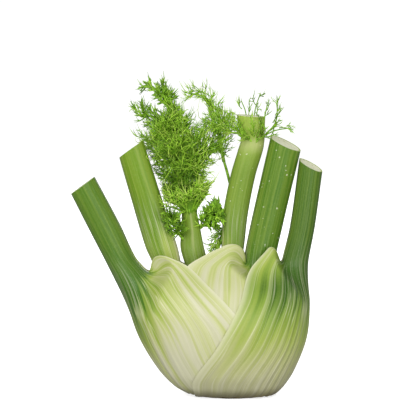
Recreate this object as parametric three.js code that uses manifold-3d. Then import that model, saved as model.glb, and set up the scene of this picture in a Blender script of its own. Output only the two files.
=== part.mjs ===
// A fennel bulb with trimmed stalks and feathery young leaves, standing on its root end.
// Millimetres, +Z up, +X to the right of the broad side, -Y towards whoever looks at that side.
// The origin is the middle of the flat, trimmed root end.
import * as THREE from "three";
import { mergeVertices } from "three/addons/utils/BufferGeometryUtils.js";
import Module from "manifold-3d";

const wasm = await Module();
wasm.setup();

// Outline of the closed bulb: height, reach to the left, reach to the right, half depth, squareness.
const BULB = [
  [0, 22.3, 21.2, 14, 3.2],
  [2, 27.2, 24.4, 17.5, 2.9],
  [6, 34.4, 28.5, 22, 2.5],
  [15, 42.9, 34.1, 28, 2.25],
  [32, 53.2, 40.6, 33.5, 2.2],
  [48, 58.8, 42.4, 34, 2.3],
  [62, 60.6, 41.6, 28.5, 2.6],
  [74, 52, 37, 19.5, 2.9],
  [88, 47, 31, 12, 3.0],
];
const GAP = 1.3; // clearance between one leaf base and the next
const UNDERCUT = [1.12, 1.45]; // a sheath lies this far under its neighbour's edge, as shares of its reach
const RIB = 0.4; // depth of the furrows between the ribs of the leaf bases
const STALK_RIB = 0.25; // and of the stalks
// Where a leaf's edges run along its stalk, in degrees from the stalk's back, and how hollow the
// stalk's inner face is between them: where it leaves the bulb, and higher up.
const EDGE_ANGLE = [138, 145];
const WIDE_EDGE_ANGLE = [164, 150];
const GROOVE = [0.5, 0.1];
const GATHER = 0.8; // how far the middle of a sheath spreads round its stalk
const LOFT = 0.6; // how strongly a sheath carries on upwards where it begins to draw together

// The three leaves whose bases wrap the bulb, from the outermost to the innermost.
// side is +1 for a stalk on the right. front and back are the edges of the sheath as [x, height].
// wall and edge are its thickness, at its middle and at its edges.
// From the height blend[0] to blend[1] the sheath draws together into the stalk.
// stalk lists [height, x, y, half width, half depth] up to the cut, whose direction is cut.
const OUTER_RIGHT = {
  name: "outer_right_leaf",
  color: 0x8ba04f,
  side: 1,
  start: 1,
  wall: 8,
  edge: 1.3,
  front: [[-22, 1], [-23, 12], [-9.8, 32.5], [2.5, 56], [8, 73], [18.3, 84.4]],
  back: [[-14, 1], [-16, 12], [-4, 32.5], [6, 56], [11, 70], [17.5, 80]],
  blend: [54, 78],
  edgeAngle: WIDE_EDGE_ANGLE,
  stalk: [
    [50, 31, 0, 11, 12],
    [62, 33.2, 0, 8.6, 9],
    [72, 33.3, 0, 7.8, 7.6],
    [96, 37.9, 0, 7.3, 6.7],
    [129.9, 42.4, 0, 7.2, 6.5],
  ],
  cut: [0.46, -0.2, 0.89],
};
const OUTER_LEFT = {
  name: "outer_left_leaf",
  color: 0x98ab58,
  side: -1,
  start: 2,
  wall: 8,
  edge: 1.3,
  front: [[15, 2], [13, 20], [8, 40], [-1.4, 52.6], [-16.5, 67.2], [-27, 76], [-35.3, 79.4]],
  back: [[9, 2], [8, 20], [2, 38], [-8, 54], [-22, 68], [-35.5, 76.5]],
  blend: [44, 73],
  edgeAngle: WIDE_EDGE_ANGLE,
  stalk: [
    [40, -44, 0, 12.5, 15],
    [55, -50, 0, 11.5, 14],
    [65, -56.5, 0, 10.4, 12.5],
    [71, -59.7, 0, 10.2, 11],
    [78, -64.3, 0, 9.1, 9.3],
    [96, -72.9, 0, 9.7, 8.1],
    [118.7, -84.6, 0, 9.4, 7.8],
  ],
  cut: [-0.59, 0.01, 0.81],
};
const INNER_RIGHT = {
  name: "inner_right_leaf",
  color: 0x9db863,
  side: 1,
  start: 5,
  wall: 12,
  edge: 1.3,
  front: [[-22, 5], [-30, 30], [-31, 55], [-27, 74.5], [-16, 81.5], [-6, 86]],
  back: [[-16, 5], [-24, 30], [-24, 55], [-18, 74], [-4, 83]],
  blend: [50, 78],
  stalk: [
    [50, 14, 0, 13, 13],
    [62, 13.8, 0, 10.5, 11.5],
    [73, 13, 0, 9.6, 9.4],
    [96, 17.5, 0, 9.6, 8.4],
    [142.2, 28.1, 0, 9.8, 8.2],
  ],
  cut: [0.42, -0.18, 0.9],
};

// The leaves in the heart of the bulb, whose bases are simple thickened stalks, rooted low in the bulb.
const INNER_LEFT = {
  name: "inner_left_leaf",
  color: 0xa3b85c,
  side: -1,
  stalk: [
    [14, -12, 0, 5, 8],
    [45, -31.5, 0, 10.8, 15],
    [62, -35.5, 0, 10, 12],
    [70, -36.5, 0, 8.7, 7.4],
    [75, -37.6, 0, 8.5, 6.2],
    [84, -40.5, 0, 9.5, 7.5],
    [116, -50.3, 0, 9, 7.6],
    [139, -57.3, 0, 8.6, 7.1],
  ],
  cut: [-0.578, 0.08, 0.816],
};
const HEART = {
  name: "heart_leaf",
  color: 0x9ab45a,
  side: 1,
  stalk: [
    [14, 7, 0, 5, 7],
    [30, 6.5, 0, 7.5, 10],
    [45, 4.5, 0, 8.5, 15],
    [62, 0, 0.5, 7.6, 12.5],
    [74, -1.9, 0.8, 6, 7.4],
    [84, -1.1, 1, 6.6, 6.3],
    [102, 0.2, 1, 7.4, 6.5],
    [124, 4.4, 1, 7.4, 6.6],
    [138, 8.5, 1, 7.4, 6.6],
    [144, 9.8, 1, 7, 6.6],
    [150, 9.2, 1, 7.8, 7],
    [157.4, 8.8, 1, 8.4, 7.2],
  ],
  cut: [0.07, -0.02, 1],
};
const YOUNG = {
  name: "young_stalk",
  color: 0x7f9a40,
  side: -1,
  stalk: [
    [14, -2, 0, 3, 7],
    [45, -12.4, 0, 7, 16],
    [62, -17, 0, 7, 13],
    [74, -20.8, 0, 7, 9.5],
    [84, -23.4, 0, 7, 5.8],
    [95, -24.2, 0, 5.5, 4.8],
    [106, -25.4, 0, 4.3, 4],
  ],
  cut: [-0.1, 0, 1],
};

// Fronds. Each stem runs along path and carries branches all round it, each with pairs of needles.
// reach is the branch length at the stem's foot, middle and tip, tilt its angle to the stem,
// and curl how far it bends up, as a share of its length.
const GOLDEN = 137.508; // degrees from one branch to the next round its stem
const BRANCH_RADIUS = 0.6;
const NEEDLE_ANGLE = 45;
const NEEDLE_BASE = 0.9;
const PLUME = [
  { path: [[-25.4, 0, 106.8], [-30, 3, 122], [-33, 6, 138], [-35, 7, 151]], radius: 1.5,
    branches: 20, reach: [5, 17, 7], tilt: 55, curl: 0.1, pairs: 3, needle: 9 },
  { path: [[-33.5, 6.5, 147], [-36.5, 6, 164], [-42.5, 5, 174]], radius: 0.9,
    branches: 7, reach: [7, 5, 3], tilt: 36, curl: 0.15, pairs: 1, needle: 5 },
  { path: [[-36, 6.2, 158], [-40, 5.8, 168], [-45, 5.2, 172.5], [-50.5, 4.8, 173.5]], radius: 0.9,
    branches: 6, reach: [4, 3.5, 2.5], tilt: 36, curl: 0.1, pairs: 1, needle: 4 },
  { path: [[-34, 6.5, 146], [-33, 8, 157], [-36, 8, 167]], radius: 0.9,
    branches: 6, reach: [5, 4, 3], tilt: 34, curl: 0.15, pairs: 1, needle: 5 },
  { path: [[-32.5, 6.5, 141], [-43, 9, 153], [-52, 9, 160.5]], radius: 0.9,
    branches: 7, reach: [9, 7, 4], tilt: 40, curl: 0.1, pairs: 2, needle: 6 },
  { path: [[-29.7, 2.9, 121], [-21.5, 2, 131], [-15.5, 1, 141]], radius: 1,
    branches: 7, reach: [12, 11, 7], tilt: 52, curl: 0.15, pairs: 2, needle: 8 },
  { path: [[-28, 3, 120], [-36, 12, 133], [-44, 15, 146]], radius: 1,
    branches: 7, reach: [10, 11, 8], tilt: 50, curl: 0.15, pairs: 2, needle: 8 },
  { path: [[-25.6, 0, 106.8], [-26.1, -0.3, 108.4], [-26.6, -0.6, 110]], radius: 1.4,
    branches: 16, reach: [17, 17, 16], tilt: 45, curl: -0.05, pairs: 2, needle: 5 },
];
const SIDE_RIGHT = [
  { path: [[-17.4, -1.5, 95.5], [-14.5, -3, 99], [-10.5, -3.5, 104.5]], radius: 0.9,
    branches: 7, reach: [8, 6.5, 3], tilt: 56, curl: -0.05, pairs: 2, needle: 5 },
];
const SIDE_LEFT = [
  { path: [[-29.8, -4, 90], [-32, -7.5, 95], [-34, -10, 102]], radius: 0.9,
    branches: 7, reach: [4, 5, 3], tilt: 50, curl: 0.1, pairs: 2, needle: 5 },
];
const BACK = [
  { path: [[2, 10.5, 84], [-0.8, 10.5, 110], [-3.5, 10, 123], [-6.2, 9.6, 132.5]], radius: 1.2,
    branches: 0, reach: [0, 0, 0], tilt: 0, curl: 0, pairs: 0, needle: 0 },
  { path: [[-5.9, 9.7, 131], [-7.5, 9, 140], [-8.5, 8.3, 148], [-9, 8, 154]], radius: 1,
    branches: 12, reach: [9, 12, 5], tilt: 50, curl: 0.2, pairs: 3, needle: 7 },
  { path: [[-7.9, 8.7, 143], [-8.5, 8.5, 155], [-12, 8, 163], [-18, 7, 168], [-25, 6.5, 169.5]], radius: 0.9,
    branches: 9, reach: [6, 6, 2.5], tilt: 36, curl: 0.15, pairs: 2, needle: 6 },
  { path: [[0.4, 10.5, 96], [-5, 6, 91], [-9.3, 3, 82]], radius: 0.8,
    branches: 6, reach: [4, 8, 6], tilt: 45, curl: 0, pairs: 1, needle: 6 },
];
const WISPS = [
  { path: [[10, -4.5, 142.5], [6, -6.6, 147], [-3, -6.4, 151.5], [-13, -4, 153]], radius: 0.7,
    branches: 9, reach: [8, 9, 5], tilt: 42, curl: 0.1, pairs: 1, needle: 5 },
  { path: [[11.5, -4.5, 143], [13.5, -6.4, 149], [16.2, -6.4, 156], [18, -4.5, 164]], radius: 0.7,
    branches: 4, reach: [3, 4, 4], tilt: 35, curl: 0.2, pairs: 1, needle: 4 },
  { path: [[11.5, -4.5, 142.5], [14.5, -6.2, 145.5], [22, -6.5, 149.5], [30, -6.5, 151]], radius: 0.7,
    branches: 5, reach: [4, 7, 4], tilt: 40, curl: 0.1, pairs: 1, needle: 4 },
  { path: [[16.5, -6.3, 146.8], [22.5, -6.5, 154], [23.7, -6, 164]], radius: 0.7,
    branches: 4, reach: [3, 4, 4], tilt: 35, curl: 0.2, pairs: 1, needle: 4 },
  { path: [[8, 5, 143], [6.5, 11, 158], [4, 12, 165]], radius: 0.7,
    branches: 3, reach: [3, 5, 4], tilt: 38, curl: 0.2, pairs: 1, needle: 4 },
  { path: [[11, 5, 143], [11.5, 11, 159], [14.5, 12, 169]], radius: 0.7,
    branches: 4, reach: [3, 6, 4], tilt: 38, curl: 0.2, pairs: 1, needle: 4 },
];

const rad = THREE.MathUtils.degToRad;
const smooth = (x, low, high) => THREE.MathUtils.smoothstep(x, low, high);
const mix = (a, b, share) => THREE.MathUtils.lerp(a, b, share);
const at = (point) => new THREE.Vector3(...point);

// Smooth curve through the rows of a table [x, y1, y2, ...]: returns the y values at x.
function through(rows, x) {
  const last = rows.length - 1;
  if (x <= rows[0][0]) return rows[0].slice(1);
  if (x >= rows[last][0]) return rows[last].slice(1);
  const i = rows.findIndex((row) => row[0] > x) - 1;
  const width = rows[i + 1][0] - rows[i][0];
  const t = (x - rows[i][0]) / width;
  const slope = (k, c) => {
    const low = rows[Math.max(k - 1, 0)];
    const high = rows[Math.min(k + 1, last)];
    return (high[c] - low[c]) / (high[0] - low[0]);
  };
  return rows[i].slice(1).map((y, k) => {
    const c = k + 1;
    const rise = rows[i + 1][c] - y;
    const m0 = slope(i, c) * width;
    const m1 = slope(i + 1, c) * width;
    return y + t * (m0 + t * (3 * rise - 2 * m0 - m1 + t * (m0 + m1 - 2 * rise)));
  });
}

// Point of the bulb's outline: angle 0 is the right side and 90 degrees the front.
function outline(angle, height) {
  const [left, right, depth, square] = through(BULB, height);
  const c = Math.cos(angle);
  const s = Math.sin(angle);
  const reach = (Math.abs(c) ** square + Math.abs(s) ** square) ** (-1 / square);
  const halfWidth = (left + right) / 2;
  return at([(right - left) / 2 + halfWidth * reach * c, -depth * reach * s, height]);
}

// The same point sunk into the bulb, square to its surface.
function sunk(angle, height, depth) {
  const step = 0.02;
  const around = outline(angle + step, height).sub(outline(angle - step, height));
  const up = outline(angle, height + 1).sub(outline(angle, Math.max(height - 1, 0)));
  const outward = up.cross(around).normalize();
  return outline(angle, height).addScaledVector(outward, -depth);
}

// Angle from the right side, over the front or the back, of a sheath's edge at a height.
function edgeAngle(edge, height) {
  const [x] = through(edge.map(([ex, ez]) => [ez, ex]), height);
  const [left, right, , square] = through(BULB, height);
  const share = THREE.MathUtils.clamp((x - (right - left) / 2) / ((left + right) / 2), -0.98, 0.98);
  return Math.atan2((1 - Math.abs(share) ** square) ** (1 / square), share);
}

// Half the arc that a leaf's sheath spans, from its middle to its front or back edge.
function reachOf(leaf, across, height) {
  const angle = edgeAngle(across < 0 ? leaf.back : leaf.front, height);
  return leaf.side > 0 ? angle : Math.PI - angle;
}

// Thickness of a sheath: full at its middle, thin at its edges, at its foot and at its top.
function thickness(leaf, across, height) {
  const foot = 0.3 + 0.7 * smooth(height, leaf.start, 22);
  const top = 1 - 0.5 * smooth(height, 50, 84);
  const share = Math.max(0, 1 - across * across);
  return leaf.edge + (leaf.wall - leaf.edge) * share * foot * top;
}

// How far the leaves outside this one push its surface in.
function covered(outer, angle, height) {
  return outer.reduce((depth, leaf) => {
    const turned = leaf.side > 0 ? angle : Math.PI - angle;
    const across = Math.atan2(Math.sin(turned), Math.cos(turned));
    const share = Math.abs(across) / reachOf(leaf, across, height);
    const under = 1 - smooth(share, ...UNDERCUT);
    return depth + under * (thickness(leaf, Math.min(share, 1) * 0.95, height) + GAP);
  }, 0);
}

// Point of a sheath: across is -1 at its back edge and +1 at its front edge.
function sheathPoint(leaf, outer, across, height, inside, furrow) {
  const edge = across < 0 ? leaf.back : leaf.front;
  const peak = edge[edge.length - 1][1];
  const shoulder = smooth(Math.abs(across), 0.3, 1) * smooth(height, 12, leaf.blend[0]);
  const z = height + (peak - leaf.blend[0]) * shoulder;
  const turn = across * reachOf(leaf, across, z);
  const angle = leaf.side > 0 ? turn : Math.PI - turn;
  const depth = covered(outer, angle, z) + furrow;
  return sunk(angle, z, depth + (inside ? thickness(leaf, across, z) : 0));
}

// Point of a stalk: across runs round its back from one edge to the other.
function stalkPoint(leaf, column, height, inside, furrow) {
  const [x, y, halfWidth, halfDepth] = through(leaf.stalk, height);
  const across = leaf.blend ? column * (1 + GATHER * (1 - Math.abs(column))) : column;
  const free = leaf.blend ? smooth(height, 66, 95) : 1;
  const edge = mix(...(leaf.edgeAngle ?? EDGE_ANGLE), free);
  const angle = rad(inside ? 180 - across * (180 - edge) * 0.8 : across * edge);
  const hollow = mix(...GROOVE, free) * (1 - across * across);
  const size = inside ? 1 - hollow : 1;
  const point = at([
    x + leaf.side * (halfWidth * size - furrow) * Math.cos(angle),
    y - (halfDepth * size - furrow) * Math.sin(angle),
    height,
  ]);
  // Sections lie flat along the stalk and tilt into the plane of its cut near its end.
  const share = smooth(height, leaf.tip.z - 25, leaf.tip.z);
  const slide = leaf.cutNormal.dot(at([x, y, height]).sub(point)) / leaf.cutNormal.dot(leaf.along);
  return point.addScaledVector(leaf.along, slide * share);
}

// The leaf with its end point, its direction there and the direction of its cut worked out.
function prepared(leaf) {
  const [low, high] = leaf.stalk.slice(-2).map(([z, x, y]) => at([x, y, z]));
  return { ...leaf, tip: high, along: high.clone().sub(low).normalize(), cutNormal: at(leaf.cut).normalize() };
}

// Closed solid from rows of points. Each row has outer points from the back edge to the front edge,
// then half as many inner points on the way back.
function skin(rows, outerCount) {
  const count = rows[0].length;
  const innerCount = count - outerCount;
  const positions = rows.flat().flatMap((p) => p.toArray());
  const faces = [];
  for (let r = 0; r + 1 < rows.length; r++) {
    for (let i = 0; i < count; i++) {
      const a = r * count + i;
      const b = r * count + ((i + 1) % count);
      faces.push(a, b, a + count, b, b + count, a + count);
    }
  }
  const close = (row, flip) => {
    const outerAt = (i) => row * count + i;
    const innerAt = (j) => row * count + count - 1 - j;
    const face = (a, b, c) => faces.push(...(flip ? [a, b, c] : [a, c, b]));
    for (let j = 0; j + 1 < innerCount; j++) {
      face(outerAt(2 * j), innerAt(j), outerAt(2 * j + 1));
      face(outerAt(2 * j + 1), innerAt(j), innerAt(j + 1));
      face(outerAt(2 * j + 1), innerAt(j + 1), outerAt(2 * j + 2));
    }
  };
  close(0, true);
  close(rows.length - 1, false);
  return solidOf(positions, faces);
}

// Solid from corner positions and faces, turned to face out.
function solidOf(positions, faces) {
  const corner = (i) => new THREE.Vector3().fromArray(positions, 3 * faces[i]);
  let volume = 0;
  for (let i = 0; i < faces.length; i += 3) {
    volume += corner(i).dot(corner(i + 1).cross(corner(i + 2)));
  }
  const turned = volume < 0 ? faces.toReversed() : faces;
  return new wasm.Manifold(
    new wasm.Mesh({
      numProp: 3,
      vertProperties: new Float32Array(positions),
      triVerts: new Uint32Array(turned),
    }),
  );
}

const spread = (count) => Array.from({ length: count }, (_, i) => (2 * i) / (count - 1) - 1);
const steps = (from, to, count) => Array.from({ length: count }, (_, i) => mix(from, to, i / count));

// One row of a leaf's section, outer points and then inner points.
function sectionRow(outerCount, point) {
  return [
    ...spread(outerCount).map((across, i) => point(across, false, i % 2)),
    ...spread((outerCount + 1) / 2).reverse().map((across) => point(across, true, 0)),
  ];
}

// Point of a wrapping leaf: on its sheath, on its stalk, or on the arch between the two.
function leafPoint(leaf, outer, across, height, inside, rib) {
  const [from, to] = leaf.blend;
  const sheath = (z) => sheathPoint(leaf, outer, across, z, inside, rib * RIB);
  const stalk = (z) => stalkPoint(leaf, across, z, inside, rib * STALK_RIB);
  if (height <= from) return sheath(height);
  if (height >= to) return stalk(height);
  const t = (height - from) / (to - from);
  const start = sheath(from);
  const end = stalk(to);
  const rise = start.clone().sub(sheath(from - 1)).multiplyScalar(LOFT * (to - from));
  const run = stalk(to + 1).sub(end).multiplyScalar(to - from);
  const late = t * t * (3 - 2 * t);
  return start
    .multiplyScalar(1 - late)
    .addScaledVector(end, late)
    .addScaledVector(rise, t * (1 - t) * (1 - t))
    .addScaledVector(run, t * t * (t - 1));
}

// A leaf that wraps the bulb: its sheath and its stalk in one piece.
function wrappingLeaf(leaf, outer) {
  const columns = 33;
  const [from, to] = leaf.blend;
  const top = leaf.tip.z;
  const heights = [...steps(leaf.start, from, 8), ...steps(from, to, 7), ...steps(to, top, 3), top];
  const rows = heights.map((height) =>
    sectionRow(columns, (across, inside, rib) => leafPoint(leaf, outer, across, height, inside, rib)),
  );
  return skin(rows, columns);
}

// A leaf of the heart: a stalk that thickens and flattens towards the root end.
function heartLeaf(leaf) {
  const columns = 17;
  const heights = [...steps(leaf.stalk[0][0], leaf.tip.z, 14), leaf.tip.z];
  const rows = heights.map((height) =>
    sectionRow(columns, (across, inside, rib) => stalkPoint(leaf, across, height, inside, rib * STALK_RIB)),
  );
  return skin(rows, columns);
}

// The trimmed root end, a short stub that the leaf bases stand round.
function rootEnd() {
  const profile = [[0, 0], [19, 0], [20, 1], [17, 5], [11, 8.5], [0, 9.5]];
  const lathe = new THREE.LatheGeometry(profile.map(([r, z]) => new THREE.Vector2(r, z)), 24);
  lathe.rotateX(Math.PI / 2).scale(1.05, 0.66, 1).translate(-1.2, 0, 0);
  lathe.deleteAttribute("normal").deleteAttribute("uv");
  const merged = mergeVertices(lathe, 1e-3);
  return solidOf([...merged.attributes.position.array], [...merged.index.array]);
}

// Two directions square to a given one.
function acrossOf(along) {
  const helper = Math.abs(along.z) < 0.9 ? at([0, 0, 1]) : at([1, 0, 0]);
  const right = helper.cross(along).normalize();
  return [right, along.clone().cross(right)];
}

// Direction at an angle to a stem, turned round it.
function leaning(along, angle, turn) {
  const [right, up] = acrossOf(along);
  return along
    .clone()
    .multiplyScalar(Math.cos(angle))
    .addScaledVector(right, Math.sin(angle) * Math.cos(turn))
    .addScaledVector(up, Math.sin(angle) * Math.sin(turn));
}

// Pointed stem along a curve, with rings of corners at the given shares of its length.
// needleAt(ring, side) is the length of the needle on that side of the stem after that ring, or 0.
function stemSolid(curve, shares, radius, sides, needleAt) {
  const positions = [];
  const faces = [];
  const add = (point) => positions.push(...point.toArray()) / 3 - 1;
  const turnOf = (side) => (2 * Math.PI * side) / sides;
  shares.forEach((share) => {
    const point = curve.getPointAt(share);
    const along = curve.getTangentAt(share);
    const size = radius * (1 - 0.4 * share);
    for (let k = 0; k < sides; k++) add(point.clone().addScaledVector(leaning(along, Math.PI / 2, turnOf(k)), size));
  });
  const last = shares.length - 1;
  for (let i = 0; i < last; i++) {
    for (let k = 0; k < sides; k++) {
      const a = i * sides + k;
      const b = i * sides + ((k + 1) % sides);
      const needle = needleAt(i, k);
      if (needle) {
        const share = (shares[i] + shares[i + 1]) / 2;
        const way = leaning(curve.getTangentAt(share), rad(NEEDLE_ANGLE), turnOf(k + 0.5));
        const tip = add(curve.getPointAt(share).addScaledVector(way, needle));
        faces.push(a, b, tip, b, b + sides, tip, b + sides, a + sides, tip, a + sides, a, tip);
      } else {
        faces.push(a, b, a + sides, b, b + sides, a + sides);
      }
    }
  }
  const end = add(curve.getPointAt(1));
  for (let k = 0; k < sides; k++) faces.push(last * sides + k, last * sides + ((k + 1) % sides), end);
  for (let k = 1; k + 1 < sides; k++) faces.push(0, k + 1, k);
  return solidOf(positions, faces);
}

// A three-sided branch with pairs of needles, each pair on two of its sides in turn.
function branchSolid(points, pairs, needle) {
  const curve = new THREE.CatmullRomCurve3(points);
  const half = NEEDLE_BASE / curve.getLength() / 2;
  const middles = Array.from({ length: pairs }, (_, i) => (i + 0.9) / (pairs + 0.6));
  const shares = [0, ...middles.flatMap((share) => [share - half, share + half])];
  return stemSolid(curve, shares, BRANCH_RADIUS, 3, (ring, side) => {
    const pair = (ring - 1) / 2;
    const bare = ring % 2 === 0 || side === (pair + 2) % 3;
    return bare ? 0 : needle * (1.1 - 0.5 * middles[pair]);
  });
}

// All the stems of a frond joined into one solid, without what would touch the leaves beside it.
function frond(stems, beside) {
  const pieces = [];
  stems.forEach((stem, s) => {
    const curve = new THREE.CatmullRomCurve3(stem.path.map(at));
    pieces.push(stemSolid(curve, steps(0, 0.95, 6), stem.radius, 4, () => 0));
    for (let i = 0; i < stem.branches; i++) {
      const share = (i + 0.5) / stem.branches;
      const [foot, middle, tip] = stem.reach;
      const reach = share < 0.5 ? mix(foot, middle, 2 * share) : mix(middle, tip, 2 * share - 1);
      const root = curve.getPointAt(share);
      const way = leaning(curve.getTangentAt(share), rad(stem.tilt), rad(s * 50 + i * GOLDEN));
      const points = [0, 0.5, 1].map((t) =>
        root
          .clone()
          .addScaledVector(way, reach * t)
          .add(at([0, 0, stem.curl * reach * t * t])),
      );
      if (reach > 2) pieces.push(branchSolid(points, stem.pairs, stem.needle));
    }
  });
  const clear = pieces.filter((piece) => beside.every((leaf) => piece.minGap(leaf, 1) > 0.35));
  const bodies = wasm.Manifold.union(clear).decompose();
  return bodies.reduce((best, body) => (body.volume() > best.volume() ? body : best));
}

const fennel = new THREE.Group();
function add(name, color, solid, roughness = 0.45) {
  const { vertProperties, triVerts } = solid.getMesh();
  const geometry = new THREE.BufferGeometry()
    .setAttribute("position", new THREE.BufferAttribute(vertProperties, 3))
    .setIndex(new THREE.BufferAttribute(triVerts, 1));
  const material = new THREE.MeshStandardMaterial({ color, roughness, metalness: 0 });
  const mesh = new THREE.Mesh(geometry, material);
  mesh.name = name;
  fennel.add(mesh);
}

const wraps = [OUTER_RIGHT, OUTER_LEFT, INNER_RIGHT].map(prepared);
const solids = new Map();
wraps.forEach((leaf, i) => solids.set(leaf.name, wrappingLeaf(leaf, wraps.slice(0, i))));
[INNER_LEFT, HEART, YOUNG].map(prepared).forEach((leaf) => solids.set(leaf.name, heartLeaf(leaf)));
const stalks = [...solids.values()];
const beside = stalks.filter((solid) => solid !== solids.get(HEART.name));
const wisps = WISPS.map((wisp) => frond([wisp], beside));
solids.set(HEART.name, wasm.Manifold.union([solids.get(HEART.name), ...wisps]));
const all = [...solids.values()];
for (const [name, stems] of [
  ["side_frond_right", SIDE_RIGHT],
  ["side_frond_left", SIDE_LEFT],
  ["young_frond", PLUME],
  ["back_frond", BACK],
]) {
  all.push(frond(stems, all));
  solids.set(name, all[all.length - 1]);
}
[OUTER_RIGHT, OUTER_LEFT, INNER_RIGHT, INNER_LEFT, HEART, YOUNG].forEach(({ name, color }) =>
  add(name, color, solids.get(name)),
);
add("young_frond", 0x5a8a28, solids.get("young_frond"), 0.6);
add("side_frond_right", 0x5a8a28, solids.get("side_frond_right"), 0.6);
add("side_frond_left", 0x5a8a28, solids.get("side_frond_left"), 0.6);
add("back_frond", 0x4f8026, solids.get("back_frond"), 0.6);
add("root_end", 0x9a8a5c, rootEnd(), 0.8);

export default fennel;
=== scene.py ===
import itertools
import math

import bpy
import numpy as np
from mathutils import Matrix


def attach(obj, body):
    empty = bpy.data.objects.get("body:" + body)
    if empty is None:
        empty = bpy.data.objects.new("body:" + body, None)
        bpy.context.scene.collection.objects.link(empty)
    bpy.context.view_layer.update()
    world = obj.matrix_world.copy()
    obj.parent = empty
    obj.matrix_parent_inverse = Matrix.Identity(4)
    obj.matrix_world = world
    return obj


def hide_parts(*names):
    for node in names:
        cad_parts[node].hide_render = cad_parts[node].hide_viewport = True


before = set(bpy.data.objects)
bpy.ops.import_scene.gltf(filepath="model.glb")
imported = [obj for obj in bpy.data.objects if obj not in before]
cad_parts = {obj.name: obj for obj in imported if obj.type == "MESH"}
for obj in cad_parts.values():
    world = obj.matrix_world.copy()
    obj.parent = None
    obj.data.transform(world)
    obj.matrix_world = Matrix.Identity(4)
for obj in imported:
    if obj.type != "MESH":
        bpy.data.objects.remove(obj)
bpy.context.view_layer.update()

bl_info = {
    "name": "Fennel bulb",
    "version": (1, 0, 0),
    "blender": (4, 5, 0),
    "location": "3D View > Sidebar > Fennel",
    "description": "Models a fennel bulb with trimmed stalks and feathery fronds, and its studio",
    "category": "Add Mesh",
}

# Shapes are worked out in millimetres and written to meshes in metres.
MM = 0.001

# Outline of the closed bulb: height, reach to the left, reach to the right, half depth, squareness.
BULB = [
    [0, 22.3, 21.2, 14, 3.2],
    [2, 27.2, 24.4, 17.5, 2.9],
    [6, 34.4, 28.5, 22, 2.5],
    [15, 42.9, 34.1, 28, 2.25],
    [32, 53.2, 40.6, 33.5, 2.2],
    [48, 58.8, 42.4, 34, 2.3],
    [62, 60.6, 41.6, 28.5, 2.6],
    [74, 52, 37, 19.5, 2.9],
    [88, 47, 31, 12, 3.0],
]
# How far a sheath stands off the one over it. Below 0 the two sink into each other, so that no slit shows.
GAP = -0.15
# A covered sheath comes out from under an edge between these shares of the covering sheath's half arc, whose
# thickness counts up to the share PRESSED.
UNDERCUT = [1.01, 1.12]
PRESSED = 0.985
# Thickness of a sheath's foot, up to a height, and of its top, as shares of its wall.
FOOT_SHARE = 0.3
FOOT_TOP = 22
TOP_SHARE = 0.5
TOP_HEIGHTS = [50, 84]
# A sheath's edges rise to its two peaks: from a share of the half arc, and from a height.
SHOULDER = [0.3, 1]
SHOULDER_FOOT = 12
# Angle from a stalk's outer side to its edges, in degrees, at the neck and where the stalk is free.
EDGE_ANGLE = [138, 145]
WIDE_EDGE_ANGLE = [164, 150]
# Depth of the groove on a stalk's inner side at the neck and where it is free, and the share it spans.
GROOVE = [0.5, 0.1]
GROOVE_SPAN = 0.8
# Heights between which a stalk comes free of the bulb, and the height over which its rows turn to its cut.
FREE_HEIGHTS = [66, 95]
CUT_RUN = 25
# How much a sheath's skin crowds to the stalk's edges, and how far the arch keeps the sheath's direction.
GATHER = 0.8
LOFT = 0.6
# Widths of a rib and of a furrow, as shares of half their spacing, and how far they stand out.
RIB_WIDTH = 0.26
FURROW_WIDTH = 0.24
RIB_RELIEF = 0.45
# Towards a sheath's edges its furrows run out between these shares of its half arc.
CALM_EDGE = [0.88, 0.97]
# Rings of a cut face, as shares of its size, from the skin to the middle, and how hollow the face is.
CUT_RINGS = np.array([0.985, 0.955, 0.91, 0.85, 0.77, 0.68, 0.57, 0.45, 0.32, 0.18, 0.0])
CUT_HOLLOW = 0.7
# Columns of points on a leaf's skin, and rows on its sheath, its arch and its stalk, or on a stalk alone.
# The inside has fewer columns, by the factor INSIDE_SPARSER.
WRAP_GRID = (400, [60, 54, 42])
HEART_GRID = (260, [100])
INSIDE_SPARSER = 8
# Edges sharper than this angle stay sharp, and points closer than this, in metres, are merged.
SMOOTH_ANGLE = 55
MERGE = 1e-7
# Height up to which most leaves are greyed, partly in their own colour and partly as painted shade low on
# the bulb, and heights between which the trimmed foot's brown fades out.
GREY_AND_SHADE_TO = 17
BROWN_HEIGHTS = [0.5, 8.5]
# Length of the stalk that takes on the colour of its tip.
TIP_RUN = 34

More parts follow.
